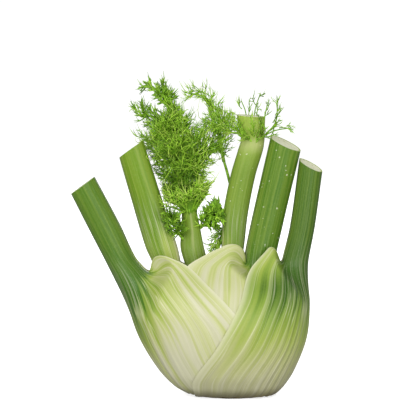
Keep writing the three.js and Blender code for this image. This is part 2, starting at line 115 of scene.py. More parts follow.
# Leaves that wrap the bulb, from the outermost to the innermost. side is +1 for a stalk on the right.
# front and back are the sheath's edges as (x, height); from blend[0] to blend[1] it draws into the stalk.
# stalk rows are (height, x, y, half width, half depth). fade rows are (share of the way from the middle
# of the sheath to its edge, height where green begins, height where the sheath is fully green).
# contrast is the strength of the sheath's streaks, stripes that of the pale lines on the stalk and drops
# that of the pale specks painted as glints of water droplets. Up to the height grey_to the foot is greyed,
# partly in its own colour and partly as painted shade; on the outer right leaf it reaches higher, as painted
# shade over that less lit leaf.
OUTER_RIGHT = {
    "name": "outer_right_leaf", "side": 1, "start": 1, "wall": 8, "edge": 0.2, "blend": [54, 78],
    "edge_angle": WIDE_EDGE_ANGLE,
    "front": [[-22, 1], [-23, 12], [-9.8, 32.5], [2.5, 56], [8, 73], [18.3, 84.4]],
    "back": [[-14, 1], [-16, 12], [-4, 32.5], [6, 56], [11, 70], [17.5, 80]],
    "stalk": [
        [50, 31, 0, 11, 12],
        [62, 33.2, 0, 8.6, 9],
        [72, 33.3, 0, 7.8, 7.6],
        [96, 37.9, 0, 7.3, 6.7],
        [129.9, 42.4, 0, 7.2, 6.5],
    ],
    "cut": [0.46, -0.2, 0.89],
    "fade": [[0, 2, 72], [0.25, 1, 72], [0.75, 0, 77], [0.9, -4, 97], [1, -6, 120]],
    # Painted shade: on this leaf the grey reaches higher, darkening the less lit right side.
    "contrast": 0.6, "grey_to": 40,
    "stalk_color": (0.048, 0.128, 0.010), "tip_color": (0.066, 0.158, 0.010), "stripes": 0.24,
}
OUTER_LEFT = {
    "name": "outer_left_leaf", "side": -1, "start": 2, "wall": 8, "edge": 0.2, "blend": [44, 73],
    "edge_angle": WIDE_EDGE_ANGLE,
    "front": [[15, 2], [13, 20], [8, 40], [-1.4, 52.6], [-16.5, 67.2], [-27, 76], [-35.3, 79.4]],
    "back": [[9, 2], [8, 20], [2, 38], [-8, 54], [-22, 68], [-35.5, 76.5]],
    "stalk": [
        [40, -44, 0, 12.5, 15],
        [55, -50, 0, 11.5, 14],
        [65, -56.5, 0, 10.4, 12.5],
        [71, -59.7, 0, 10.2, 11],
        [78, -64.3, 0, 9.1, 9.3],
        [96, -72.9, 0, 9.7, 8.1],
        [118.7, -84.6, 0, 9.4, 7.8],
    ],
    "cut": [-0.59, 0.01, 0.81],
    "fade": [[0, 10, 66], [0.2, 10, 66], [0.45, 20, 74], [0.65, 38, 100], [1, 50, 150]],
    "contrast": 1.3,
    "stalk_color": (0.064, 0.166, 0.012), "tip_color": (0.084, 0.194, 0.012), "stripes": 0.26,
}
INNER_RIGHT = {
    "name": "inner_right_leaf", "side": 1, "start": 5, "wall": 12, "edge": 0.2, "blend": [50, 78],
    "front": [[-22, 5], [-30, 30], [-31, 55], [-27, 74.5], [-16, 81.5], [-6, 86]],
    "back": [[-16, 5], [-24, 30], [-24, 55], [-18, 74], [-4, 83]],
    "stalk": [
        [50, 14, 0, 13, 13],
        [62, 13.8, 0, 10.5, 11.5],
        [73, 13, 0, 9.6, 9.4],
        [96, 17.5, 0, 9.6, 8.4],
        [142.2, 28.1, 0, 9.8, 8.2],
    ],
    "cut": [0.42, -0.18, 0.9],
    "fade": [[0, 52, 82], [0.45, 54, 106], [0.8, 54, 118], [1, 58, 150]],
    "contrast": 1.2, "drops": 0.6,
    "stalk_color": (0.062, 0.168, 0.004), "tip_color": (0.074, 0.186, 0.004), "stripes": 0.42,
}
# Leaves of the heart, whose bases are thickened stalks. Above green_from they are green all over. node is
# the height of a pale swelling, and ridge the place of a pale ridge across the stalk.
INNER_LEFT = {
    "name": "inner_left_leaf", "side": -1,
    "stalk": [
        [14, -12, 0, 5, 8],
        [45, -31.5, 0, 10.8, 15],
        [62, -35.5, 0, 10, 12],
        [70, -36.5, 0, 8.7, 7.4],
        [75, -37.6, 0, 8.5, 6.2],
        [84, -40.5, 0, 9.5, 7.5],
        [116, -50.3, 0, 9, 7.6],
        [139, -57.3, 0, 8.6, 7.1],
    ],
    "cut": [-0.578, 0.08, 0.816],
    "fade": [[0, 22, 116], [1, 22, 116]], "green_from": 104,
    "stalk_color": (0.136, 0.258, 0.012), "tip_color": (0.158, 0.290, 0.012), "stripes": 0.55,
}
HEART = {
    "name": "heart_leaf", "side": 1,
    "stalk": [
        [14, 7, 0, 5, 7],
        [30, 6.5, 0, 7.5, 10],
        [45, 4.5, 0, 8.5, 15],
        [62, 0, 0.5, 7.6, 12.5],
        [74, -1.9, 0.8, 6, 7.4],
        [84, -1.1, 1, 6.6, 6.3],
        [102, 0.2, 1, 7.4, 6.5],
        [124, 4.4, 1, 7.4, 6.6],
        [138, 8.5, 1, 7.4, 6.6],
        [144, 9.8, 1, 7, 6.6],
        [150, 9.2, 1, 7.8, 7],
        [157.4, 8.8, 1, 8.4, 7.2],
    ],
    "cut": [0.07, -0.02, 1],
    "fade": [[0, 30, 96], [1, 30, 96]], "green_from": 100,
    "stalk_color": (0.166, 0.282, 0.028), "tip_color": (0.440, 0.590, 0.095), "stripes": 0.45,
    "node": 142, "drops": 0.6,
}
YOUNG = {
    "name": "young_stalk", "side": -1,
    "stalk": [
        [14, -2, 0, 3, 7],
        [45, -12.4, 0, 7, 16],
        [62, -17, 0, 7, 13],
        [74, -20.8, 0, 7, 9.5],
        [84, -23.4, 0, 7, 5.8],
        [95, -24.2, 0, 5.5, 4.8],
        [106, -25.4, 0, 4.3, 4],
    ],
    "cut": [-0.1, 0, 1],
    "fade": [[0, 20, 80], [1, 20, 80]], "green_from": 84,
    "stalk_color": (0.150, 0.250, 0.018), "tip_color": (0.200, 0.340, 0.024), "stripes": 0.25,
    "ridge": 0.66,
}
WRAPS = [OUTER_RIGHT, OUTER_LEFT, INNER_RIGHT]
HEARTS = [INNER_LEFT, HEART, YOUNG]

# Turn from one branch to the next, from one strand to the next and from one stem to the next, in degrees.
GOLDEN = 137.508
STRAND_TURN = 74
STEM_TURN = 50
# Angle of arcs, strands and forks to what they grow on, in degrees, and a fork's width for a strand's.
ARC_LEAN = [25, 80]
STRAND_LEAN = 30
FORK_LEAN = 26
FORK_WIDTH = 0.8
# Fronds: each stem is (path, radius, branches, reach at foot, middle and tip, tilt, curl, needle length).
PLUME = [
    ([[-25.4, 0, 106.8], [-30, 3, 122], [-33, 6, 138], [-35, 7, 151]], 1.5, 20, [8, 18, 7], 55, 0.1, 9),
    ([[-33.5, 6.5, 147], [-36.5, 6, 164], [-42.5, 5, 174]], 0.9, 7, [7, 5, 3], 36, 0.15, 5),
    (
        [[-36, 6.2, 158], [-40, 5.8, 168], [-45, 5.2, 172.5], [-50.5, 4.8, 173.5]],
        0.9, 6, [4, 3.5, 2.5], 36, 0.1, 4,
    ),
    ([[-34, 6.5, 146], [-33, 8, 157], [-36, 8, 167]], 0.9, 6, [5, 4, 3], 34, 0.15, 5),
    ([[-32.5, 6.5, 141], [-43, 9, 153], [-52, 9, 160.5]], 0.9, 7, [9, 7, 4], 40, 0.1, 6),
    ([[-29.7, 2.9, 121], [-21.5, 2, 131], [-15.5, 1, 141]], 1, 7, [12, 11, 7], 52, 0.15, 8),
    ([[-28, 3, 120], [-36, 12, 133], [-44, 15, 146]], 1, 7, [12, 14, 10], 50, 0.15, 8),
]
COLLAR = [
    ([[-25.6, 0, 106.8], [-26.1, -0.3, 108.4], [-26.6, -0.6, 110]], 1.4, 16, [17, 17, 16], 48, -0.08, 5),
]
FUNNEL = [
    ([[-25.2, 0, 102.5], [-25.4, 0, 104.2], [-25.6, -0.2, 106]], 1.4, 16, [15, 15, 15], 36, -0.12, 5),
]
# The cup under the collar: centre and radius of its rings, up the outside and down the inside.
CUP = [
    [-25.2, 0, 102.5, 4],
    [-25.4, 0, 105, 4.5],
    [-25.6, -0.1, 108, 5.9],
    [-25.8, -0.2, 111, 7.9],
    [-26.1, -0.3, 113.8, 10.2],
    [-26.3, -0.4, 115.6, 11.8],
    [-26.3, -0.4, 115.2, 10.8],
    [-26, -0.3, 112.8, 7.2],
    [-25.8, -0.2, 111, 3],
]
SIDE_RIGHT = [
    ([[-18.2, -1.5, 95.5], [-14.8, -3, 99], [-10.5, -3.5, 104.5]], 0.9, 7, [8, 6.5, 3], 56, -0.05, 5),
]
SIDE_LEFT = [
    ([[-29.8, -4, 90], [-32, -7.5, 95], [-34, -10, 102]], 0.9, 7, [4, 5, 3], 50, 0.1, 5),
]
BACK = [
    ([[2, 10.5, 84], [-0.8, 10.5, 110], [-3.5, 10, 123], [-6.2, 9.6, 132.5]], 1.2, 0, [0, 0, 0], 0, 0, 0),
    ([[-5.9, 9.7, 131], [-7.5, 9, 140], [-8.5, 8.3, 148], [-9, 8, 154]], 1, 12, [9, 12, 5], 50, 0.2, 7),
    (
        [[-7.9, 8.7, 143], [-8.5, 8.5, 155], [-12, 8, 163], [-18, 7, 168], [-25, 6.5, 169.5]],
        0.9, 9, [6, 6, 2.5], 36, 0.15, 6,
    ),
    ([[0.4, 10.5, 96], [-5, 6, 91], [-9.3, 3, 82]], 0.8, 14, [4, 8, 6], 45, 0, 6),
]
WISPS = [
    (
        [[10, -4.5, 142.5], [6, -6.6, 147], [-3, -6.4, 151.5], [-13, -4, 153]],
        0.6, 9, [9, 10, 6], 42, 0.1, 6,
    ),
    (
        [[11.5, -4.5, 143], [13.5, -6.4, 149], [16.2, -6.4, 156], [18, -4.5, 164]],
        0.45, 4, [3, 4, 4], 35, 0.2, 4,
    ),
    (
        [[11.5, -4.5, 142.5], [14.5, -6.2, 145.5], [22, -6.5, 149.5], [30, -6.5, 151]],
        0.45, 5, [4, 7, 4], 40, 0.1, 4,
    ),
    ([[16.5, -6.3, 146.8], [22.5, -6.5, 154], [23.7, -6, 164]], 0.5, 4, [3, 4, 4], 35, 0.2, 4),
    ([[8, 5, 143], [6.5, 11, 158], [4, 12, 165]], 0.45, 3, [3, 5, 4], 38, 0.2, 4),
    ([[11, 5, 143], [11.5, 11, 159], [14.5, 12, 169]], 0.45, 4, [3, 6, 4], 38, 0.2, 4),
]
# The cup's shallow ribs: how many, how far they stand out as a share of its radius, and the cup's tone.
CUP_RIBS = 16
CUP_RIPPLE = 0.04
CUP_TONE = 0.1
CUP_SIDES = 64
# Needles of each frond: branches for each one in the stem's row, arcs and strands on a branch, forks on a
# strand, the share of a branch that is bare, how thick its rib and its strands are, and how light it is.
# A foot leads the stem down to its stalk, ring starts the branches off the stem's middle, on is the stalk
# that needles may touch, deep darkens those low on the stem as painted shade within the plume, and stem_tone
# is the tone of the stem.
FRONDS = [
    {"name": "young_frond_needles", "node": "young_frond", "stems": PLUME[:1], "branches": 3.6, "arcs": 8,
     "strands": 4, "forks": 1, "bare": 0.2, "rib": 1.5, "stout": 1.2, "lighter": 0.05, "painted_deep_shade": 0.7},
    {"name": "young_frond_tips", "node": "young_frond", "stems": PLUME[1:5], "branches": 1.7, "arcs": 0,
     "strands": 4, "forks": 1, "bare": 0.1, "rib": 1.6, "stout": 1.5, "lighter": -0.05},
    {"name": "young_frond_sides", "node": "young_frond", "stems": PLUME[5:], "branches": 2.4, "arcs": 7,
     "strands": 4, "forks": 1, "bare": 0.1, "rib": 1.5, "stout": 1.2, "lighter": -0.05},
    {"name": "young_frond_funnel", "node": "young_frond", "stems": FUNNEL, "branches": 1.5, "arcs": 1,
     "strands": 2, "forks": 0, "bare": 0.6, "rib": 3.2, "stout": 2.0, "lighter": 0.1,
     "ring": 3.0, "on": YOUNG, "cup": CUP},
    {"name": "young_frond_collar", "node": "young_frond", "stems": COLLAR, "branches": 2.4, "arcs": 7,
     "strands": 3, "forks": 0, "bare": 0.6, "rib": 1.6, "stout": 1.4, "lighter": 0.25},
    {"name": "side_frond_right_needles", "node": "side_frond_right", "stems": SIDE_RIGHT, "branches": 2.4,
     "arcs": 0, "strands": 5, "forks": 1, "bare": 0.0, "rib": 2.2, "stout": 2.6, "lighter": -0.15,
     "foot": [[-20.5, -1, 94]]},
    # Painted shade: this frond is darkened for the shade it hangs in between the stalks.
    {"name": "side_frond_left_needles", "node": "side_frond_left", "stems": SIDE_LEFT, "branches": 2.0,
     "arcs": 0, "strands": 4, "forks": 1, "bare": 0.0, "rib": 2.0, "stout": 1.5, "lighter": -0.2,
     "foot": [[-26.5, -2, 87]]},
    {"name": "back_frond_needles", "node": "back_frond", "stems": BACK, "branches": 1.5, "arcs": 1,
     "strands": 3, "forks": 1, "bare": 0.15, "rib": 1.5, "stout": 1.0, "lighter": 0.25},
    {"name": "heart_wisps", "node": "heart_leaf", "stems": WISPS[1:], "branches": 1.2, "arcs": 0,
     "strands": 2, "forks": 1, "bare": 0.3, "rib": 1.2, "stout": 0.9, "lighter": -0.05, "stem_tone": 0.2},
    {"name": "heart_wisp_fan", "node": "heart_leaf", "stems": WISPS[:1], "branches": 3.0, "arcs": 1,
     "strands": 3, "forks": 1, "bare": 0.2, "rib": 1.2, "stout": 0.9, "lighter": 0.2, "stem_tone": 0.5},
]
# Tones of stems and branches, from 0 for dark to 1 for light.
STEM_TONE = 0.3
BRANCH_TONE = 0.35
# Needles: their sides, the shares of their length that have points, and the taper's amount and power.
NEEDLE_SIDES = 3
NEEDLE_SHARES = np.linspace(0, 1, 5)
NEEDLE_TAPER = [0.82, 1.6]
# Stems: the same for each short tube, the tubes in a row, and the tip's width as a share of the foot's.
STEM_SIDES = 8
STEM_SHARES = np.linspace(0, 1, 3)
STEM_TUBES = 8
STEM_TAPER = 0.6
# Steps between two points of a path.
PATH_STEPS = 40
# Points along a stem where branches can start, and the shortest branch that grows.
STEM_POINTS = 200
SHORTEST_BRANCH = 1.5
# Needles sway with their neighbours by this much.
SWAY = 0.9
# Needles keep CLEARANCE from a stalk's side and OVER_CUT from its cut. One that comes closer at any of the
# shares PROBES of its length is cut back to the shares CUT_BACK in turn.
CLEARANCE = 0.5
OVER_CUT = 2
CUT_BACK = (0.7, 0.6, 0.5)
PROBES = (0.3, 0.6, 0.8, 1.0)

# The root end: radius and height of its rings, from the middle of its foot to its top, where its middle
# lies, and how much the rings are stretched.
ROOT_RINGS = [[0, 0], [6, 0], [12, 0], [17, 0], [19, 0], [20, 1], [17, 5], [11, 8.5], [5, 9.3], [0, 9.5]]
ROOT_CENTRE = -1.2
ROOT_WIDTH = 1.05
ROOT_DEPTH = 0.66
ROOT_SIDES = 96
# Colours of the root end, from its scars to its corky rim.
ROOT_COLORS = [(0.25, (0.03, 0.02, 0.005)), (0.5, (0.08, 0.055, 0.015)), (0.75, (0.17, 0.13, 0.045))]

# The point that the camera and the lights look at.
VIEW_CENTRE = (-13.7, 0.0, 104.7)
# Place and size of the lights, in metres.
LIGHTS = {
    "key": [(-0.40, -1.0, 0.52), 0.6],
    "fill": [(0.45, -1.0, 0.12), 0.7],
    "back": [(0.2, 1.0, 0.7), 0.9],
}
# The floor's side and the camera's nearest distance, in metres, and its sensor, in millimetres.
FLOOR_SIZE = 8
SENSOR_WIDTH = 36
CLIP_START = 0.05
# Brightness of the backdrop behind the bulb.
BACKDROP = 1.05


def smooth(x, low, high):
    """Smooth step from 0 at low to 1 at high."""
    t = np.clip((x - low) / (high - low), 0, 1)
    return t * t * (3 - 2 * t)


def mix(a, b, share):
    return a + (b - a) * share


def unit(vectors):
    return vectors / np.linalg.norm(vectors, axis=-1, keepdims=True)


def through(rows, x):
    """Smooth curves through the rows of a table (x, y1, y2, ...): an array of each y at x."""
    table = np.array(rows, float)
    knots, values = table[:, 0], table[:, 1:]
    last = len(knots) - 1
    before = np.maximum(np.arange(last + 1) - 1, 0)
    after = np.minimum(np.arange(last + 1) + 1, last)
    slopes = (values[after] - values[before]) / (knots[after] - knots[before])[:, None]
    x = np.clip(np.asarray(x, float), knots[0], knots[-1])
    low = np.clip(np.searchsorted(knots, x, side="right") - 1, 0, last - 1)
    width = (knots[low + 1] - knots[low])[..., None]
    t = (x - knots[low])[..., None] / width
    rise = values[low + 1] - values[low]
    m0 = slopes[low] * width
    m1 = slopes[low + 1] * width
    y = values[low] + t * (m0 + t * (3 * rise - 2 * m0 - m1 + t * (m0 + m1 - 2 * rise)))
    return np.moveaxis(y, -1, 0)


def outline(angle, height):
    """Points of the bulb's outline: angle 0 is the right side and a quarter turn the front."""
    left, right, depth, square = through(BULB, height)
    c, s = np.cos(angle), np.sin(angle)
    reach = (np.abs(c) ** square + np.abs(s) ** square) ** (-1 / square)
    x = (right - left) / 2 + (left + right) / 2 * reach * c
    return np.stack([x, -depth * reach * s, height + 0 * x], axis=-1)


def sunk(angle, height, depth):
    """The same points sunk into the bulb, square to its surface."""
    step = 0.02
    around = outline(angle + step, height) - outline(angle - step, height)
    up = outline(angle, height + 1) - outline(angle, np.maximum(height - 1, 0))
    return outline(angle, height) - unit(np.cross(up, around)) * depth[..., None]


def edge_angle(edge, height):
    """Angle of a sheath's edge from the right side at a height."""
    (x,) = through([[z, x] for x, z in edge], height)
    left, right, _, square = through(BULB, height)
    share = np.clip((x - (right - left) / 2) / ((left + right) / 2), -0.98, 0.98)
    return np.arctan2((1 - np.abs(share) ** square) ** (1 / square), share)


def reach_of(leaf, across, height):
    """Half the arc that a leaf's sheath spans, from its middle to its front or back edge."""
    angle = np.where(across < 0, edge_angle(leaf["back"], height), edge_angle(leaf["front"], height))
    return angle if leaf["side"] > 0 else math.pi - angle


def thickness(leaf, across, height):
    """Thickness of a sheath: full at its middle, thin at its edges, its foot and its top."""
    foot = FOOT_SHARE + (1 - FOOT_SHARE) * smooth(height, leaf["start"], FOOT_TOP)
    top = 1 - (1 - TOP_SHARE) * smooth(height, *TOP_HEIGHTS)
    share = np.maximum(0, 1 - across * across)
    return leaf["edge"] + (leaf["wall"] - leaf["edge"]) * share * foot * top


def covered(outer, angle, height):
    """How far the leaves outside a sheath push its surface in."""
    depth = 0 * angle
    for leaf in outer:
        turned = angle if leaf["side"] > 0 else math.pi - angle
        across = np.arctan2(np.sin(turned), np.cos(turned))
        share = np.abs(across) / reach_of(leaf, across, height)
        under = 1 - smooth(share, *UNDERCUT)
        depth = depth + under * (thickness(leaf, np.minimum(share, 1) * PRESSED, height) + GAP)
    return depth


def sheath_points(leaf, outer, across, height, inside, furrow):
    """Points of a sheath: across is -1 at its back edge and +1 at its front edge."""
    peak = np.where(across < 0, leaf["back"][-1][1], leaf["front"][-1][1])
    shoulder = smooth(np.abs(across), *SHOULDER) * smooth(height, SHOULDER_FOOT, leaf["blend"][0])
    z = height + (peak - leaf["blend"][0]) * shoulder
    turn = across * reach_of(leaf, across, z)
    angle = turn if leaf["side"] > 0 else math.pi - turn
    depth = covered(outer, angle, z) + furrow
    return sunk(angle, z, depth + thickness(leaf, across, z) if inside else depth)


def stalk_end(leaf):
    """The middle of a stalk's cut, the stalk's direction there and the direction of the cut."""
    low, high = [np.array([x, y, z], float) for z, x, y, _, _ in leaf["stalk"][-2:]]
    return high, unit(high - low), unit(np.array(leaf["cut"], float))


def stalk_points(leaf, across, height, inside, furrow):
    """Points of a stalk: across runs round its outer side from one edge to the other."""
    x, y, half_width, half_depth = through(leaf["stalk"], height)
    free = 1.0
    if "blend" in leaf:
        across = across * (1 + GATHER * (1 - np.abs(across)))
        free = smooth(height, *FREE_HEIGHTS)
    edge = mix(*leaf.get("edge_angle", EDGE_ANGLE), free)
    angle = np.radians(180 - across * (180 - edge) * GROOVE_SPAN if inside else across * edge)
    size = 1 - mix(*GROOVE, free) * (1 - across * across) if inside else 1
    points = np.stack(
        [
            x + leaf["side"] * (half_width * size - furrow) * np.cos(angle),
            y - (half_depth * size - furrow) * np.sin(angle),
            height + 0 * angle,
        ],
        axis=-1,
    )
    tip, along, cut = stalk_end(leaf)
    axis = np.stack([x, y, height + 0 * x], axis=-1)
    slide = (axis - points) @ cut / (along @ cut) * smooth(height, tip[2] - CUT_RUN, tip[2])
    return points + slide[..., None] * along


def leaf_points(leaf, outer, across, heights, inside, furrows):
    """Rows of points of a leaf: on its sheath, on its stalk, or on the arch between the two."""
    across = np.asarray(across, float)[None, :]
    heights = np.asarray(heights, float)[:, None]

    def sheath(height):
        u, z = np.broadcast_arrays(across, height)
        calm = 1 - smooth(np.abs(u), *CALM_EDGE)
        return sheath_points(leaf, outer, u, z, inside, furrows(u, z)[0] * calm)

    def stalk(height):
        u, z = np.broadcast_arrays(across, height)
        return stalk_points(leaf, u, z, inside, furrows(u, z)[1])

    if "blend" not in leaf:
        return stalk(heights)
    start, end = leaf["blend"]
    low = heights[heights[:, 0] <= start]
    middle = heights[(heights[:, 0] > start) & (heights[:, 0] < end)]
    high = heights[heights[:, 0] >= end]
    one = np.ones((1, 1))
    foot = sheath(start * one)
    top = stalk(end * one)
    rise = (foot - sheath((start - 1) * one)) * LOFT * (end - start)
    run = (stalk((end + 1) * one) - top) * (end - start)
    t = ((middle - start) / (end - start))[..., None]
    late = t * t * (3 - 2 * t)
    arch = foot * (1 - late) + top * late + rise * t * (1 - t) ** 2 + run * t * t * (t - 1)
    return np.concatenate([sheath(low), arch, stalk(high)])


def lines(phase, width):
    """A row of narrow lines, one at each even number: 1 on a line, 0 between."""
    away = np.abs(phase - 2 * np.rint(phase / 2))
    return np.exp(-((away / width) ** 2))


def ribs_of(across, height, count, seed):
    """Relief across a leaf: about a half on its skin, near 1 on its ribs and near 0 in its furrows."""
    wander = 1.5 * np.sin(3.7 * across + seed) + 0.8 * np.sin(8.9 * across + 2.3 * seed)
    phase = across * count + wander + 0.25 * np.sin(height / 17 + 5 * across)
    number = np.rint(phase)
    strength = 0.66 + 0.34 * np.sin(2.6 * number + seed) * np.sin(height / 30 + 1.9 * number)
    swell = 0.10 * np.sin(across * 21 + seed) * np.sin(height / 40 + across * 9)
    relief = 0.5 + RIB_RELIEF * strength * (lines(phase, RIB_WIDTH) - lines(phase + 1, FURROW_WIDTH))
    return np.clip(relief + swell, 0, 1)


class Wire:
    """A node's output, with arithmetic that adds Math nodes."""

    def __init__(self, paint, socket):
        self.paint = paint
        self.socket = socket

    def math(self, operation, *values):
        return self.paint.node("ShaderNodeMath", {"operation": operation}, dict(enumerate(values)))

    def __add__(self, other):
        return self.math("ADD", self, other)

    def __radd__(self, other):
        return self.math("ADD", other, self)

    def __sub__(self, other):
        return self.math("SUBTRACT", self, other)

    def __rsub__(self, other):
        return self.math("SUBTRACT", other, self)

    def __mul__(self, other):
        return self.math("MULTIPLY", self, other)

    def __abs__(self):
        return self.math("ABSOLUTE", self)

    def clamped(self):
        return self.math("MINIMUM", self.math("MAXIMUM", self, 0.0), 1.0)

    def between(self, low, high):
        """Smooth step of the value from 0 at low to 1 at high."""
        settings = {"interpolation_type": "SMOOTHSTEP"}
        inputs = {"Value": self, "From Min": low, "From Max": high}
        return self.paint.node("ShaderNodeMapRange", settings, inputs)


class Paint:
    """A material in the making, with one Principled shader."""

    def __init__(self, name, **constants):
        self.material = bpy.data.materials.new(name)
        self.material.use_nodes = True
        self.tree = self.material.node_tree
        self.shader = self.tree.nodes["Principled BSDF"]
        for key, value in constants.items():
            self.shader.inputs[key.replace("_", " ")].default_value = value

    def feed(self, socket, value):
        if isinstance(value, Wire):
            self.tree.links.new(value.socket, socket)
        else:
            socket.default_value = value

    def node(self, kind, settings, inputs, output=0):
        """A new node with its settings and inputs, as the wire of one of its outputs."""
        node = self.tree.nodes.new(kind)
        for key, value in settings.items():
            if key == "stops":
                self.set_stops(node.color_ramp, value)
            else:
                setattr(node, key, value)
        for key, value in inputs.items():
            self.feed(node.inputs[key], value)
        return Wire(self, node.outputs[output])

    def set_stops(self, ramp, stops):
        while len(ramp.elements) < len(stops):
            ramp.elements.new(1.0)
        for element, (position, color) in zip(ramp.elements, stops):
            element.position = position
            element.color = (*color, 1.0)

    def attribute(self, name):
        return self.node("ShaderNodeAttribute", {"attribute_name": name}, {}, "Fac")

    def place(self, scale):
        """Object coordinates times a scale for each axis."""
        where = self.node("ShaderNodeTexCoord", {}, {}, "Object")
        return self.node("ShaderNodeMapping", {}, {"Vector": where, "Scale": scale})

    def noise(self, vector, detail):
        return self.node("ShaderNodeTexNoise", {}, {"Vector": vector, "Scale": 1.0, "Detail": detail})

    def vector(self, x, y, z):
        return self.node("ShaderNodeCombineXYZ", {}, {"X": x, "Y": y, "Z": z})

    def mixed(self, factor, a, b):
        """One colour fading into another."""
        colors = [c if isinstance(c, Wire) else (*c, 1.0) for c in (a, b)]
        inputs = {0: factor, 6: colors[0], 7: colors[1]}
        return self.node("ShaderNodeMix", {"data_type": "RGBA"}, inputs, 2)

    def ramp(self, factor, stops):
        return self.node("ShaderNodeValToRGB", {"stops": stops}, {"Fac": factor})

    def bump(self, height, distance, strength):
        inputs = {"Strength": strength, "Distance": distance, "Height": height}
        return self.node("ShaderNodeBump", {}, inputs)

    def finish(self, **inputs):
        for key, value in inputs.items():
            self.feed(self.shader.inputs[key.replace("_", " ")], value)
        return self.material


def deselect():
    if bpy.context.object and bpy.context.object.mode != "OBJECT":
        bpy.ops.object.mode_set(mode="OBJECT")
    bpy.ops.object.select_all(action="DESELECT")


def set_attributes(mesh, attributes):
    """Values at a mesh's points, for its material to read."""
    for key, values in attributes.items():
        layer = mesh.attributes.new(key, "FLOAT", "POINT")
        layer.data.foreach_set("value", values.astype(np.float32))


def rolled_sheet(name, rows, attributes):
    """A grid shaped into a closed skin: rows[r, c] are its points, and each row closes on itself.

    The seam and a last row that is a single point are merged, and an open foot is filled.
    """
    row_count, column_count = rows.shape[:2]
    deselect()
    bpy.ops.mesh.primitive_grid_add(x_subdivisions=column_count, y_subdivisions=row_count - 1, size=2)
    piece = bpy.context.object
    piece.name = name
    mesh = piece.data
    mesh.name = name
    flat = np.empty(len(mesh.vertices) * 3)
    mesh.vertices.foreach_get("co", flat)
    grid = flat.reshape(-1, 3)
    column = np.rint((grid[:, 0] + 1) / 2 * column_count).astype(int) % column_count
    row = np.rint((grid[:, 1] + 1) / 2 * (row_count - 1)).astype(int)
    mesh.vertices.foreach_set("co", (rows[row, column] * MM).ravel())
    set_attributes(mesh, {key: values[row, column] for key, values in attributes.items()})
    bpy.ops.object.mode_set(mode="EDIT")
    bpy.ops.mesh.select_all(action="SELECT")
    bpy.ops.mesh.remove_doubles(threshold=MERGE)
    bpy.ops.mesh.select_all(action="DESELECT")
    bpy.ops.mesh.select_non_manifold(extend=False)
    if mesh.total_edge_sel:
        bpy.ops.mesh.fill()
    bpy.ops.mesh.select_all(action="SELECT")
    bpy.ops.mesh.normals_make_consistent(inside=False)
    bpy.ops.mesh.select_all(action="DESELECT")
    bpy.ops.object.mode_set(mode="OBJECT")
    bpy.ops.object.shade_smooth_by_angle(angle=math.radians(SMOOTH_ANGLE))
    return piece


def settle(piece, material, node):
    """Gives a piece its material and its body, and hides the imported part of the node that it stands for.
    """
    piece.data.materials.append(material)
    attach(piece, "root")
    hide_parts(node)


def leaf_piece(leaf, outer, settings, grid):
    """A leaf in one piece: ribbed sheath and stalk, and the pale face where the stalk was cut."""
    columns, counts = grid
    seed = leaf["stalk"][0][1]
    across = np.linspace(-1, 1, columns)
    back = np.linspace(1, -1, columns // INSIDE_SPARSER + 2)[1:-1]
    tip, _, cut = stalk_end(leaf)
    if "blend" in leaf:
        start, end = leaf["blend"]
        sheath = np.linspace(leaf["start"], start, counts[0], endpoint=False)
        arch = np.linspace(start, end, counts[1], endpoint=False)
        heights = np.concatenate([sheath, arch, np.linspace(end, tip[2], counts[2])])
    else:
        end = leaf["green_from"]
        heights = np.linspace(leaf["stalk"][0][0], tip[2], *counts)

    def ribs(u, z):
        return ribs_of(u, z, settings.ribs, seed)

    def furrows(u, z):
        """Depth of the furrows on the sheath and on the stalk."""
        low = (1 - ribs(u, z)) / MM
        return low * settings.rib_depth, low * settings.stalk_rib_depth

    def plain(u, z):
        return 0 * u, 0 * u

    skin_outside = leaf_points(leaf, outer, across, heights, False, furrows)
    skin_inside = leaf_points(leaf, outer, back, heights, True, plain)
    skin = np.concatenate([skin_outside, skin_inside], axis=1)
    share = CUT_RINGS[:, None, None]
    face = tip + (skin[-1] - tip) * share - cut * CUT_HOLLOW * (1 - share ** 2)
    rows = np.concatenate([skin, face])

    # Values for the material: how green, how ribbed, how close to a sheath's thin edge, a cut or the stalk.
    # The ear, a sheath's upper corner, is paler, and so is the inside. A sheath's thin edge is pale in its
    # own colour;
    # past the notch its weaker pale line up the stalk's edges is a painted highlight.
    every = np.concatenate([across, back])
    height = np.concatenate([heights, np.full(len(CUT_RINGS), tip[2])])[:, None] + 0 * every
    outside = np.concatenate([np.ones(columns), np.zeros(len(back))])
    low, high = through(leaf["fade"], np.abs(every))
    stalk = smooth(height, end - 8, end + 14)
    on_stalk = smooth(height, end - 18, end - 1)
    ear = smooth(np.abs(every), 0.45, 0.9) * smooth(rows[..., 2], 62, 80) * (1 - on_stalk)
    green = np.maximum(smooth(rows[..., 2], low, high) * (1 - 0.5 * ear), on_stalk)
    green = mix(0.35 * green, green, np.maximum(outside, smooth(height, end - 5, end + 15)))
    rim = smooth(np.abs(every), 0.93, 1)
    # Past the notch the pale edge line runs on, weaker, up the stalk's edges as a painted highlight.
    rim = rim * (1 - 0.7 * smooth(height, end - 4, end + 6) - 0.3 * smooth(height, end, end + 40))
    attributes = {
        "green": green,
        "rib": np.where(outside > 0, ribs(every + 0 * height, height), 0.8),
        "rim": rim if "blend" in leaf else 0 * rim,
        "cut": np.concatenate([np.zeros(len(heights)), 1 - CUT_RINGS])[:, None] + 0 * every,
        "across": every + 0 * height,
        "along": height,
        "stalk": stalk,
    }
    return rolled_sheet(leaf["name"] + "_skin", rows, attributes)


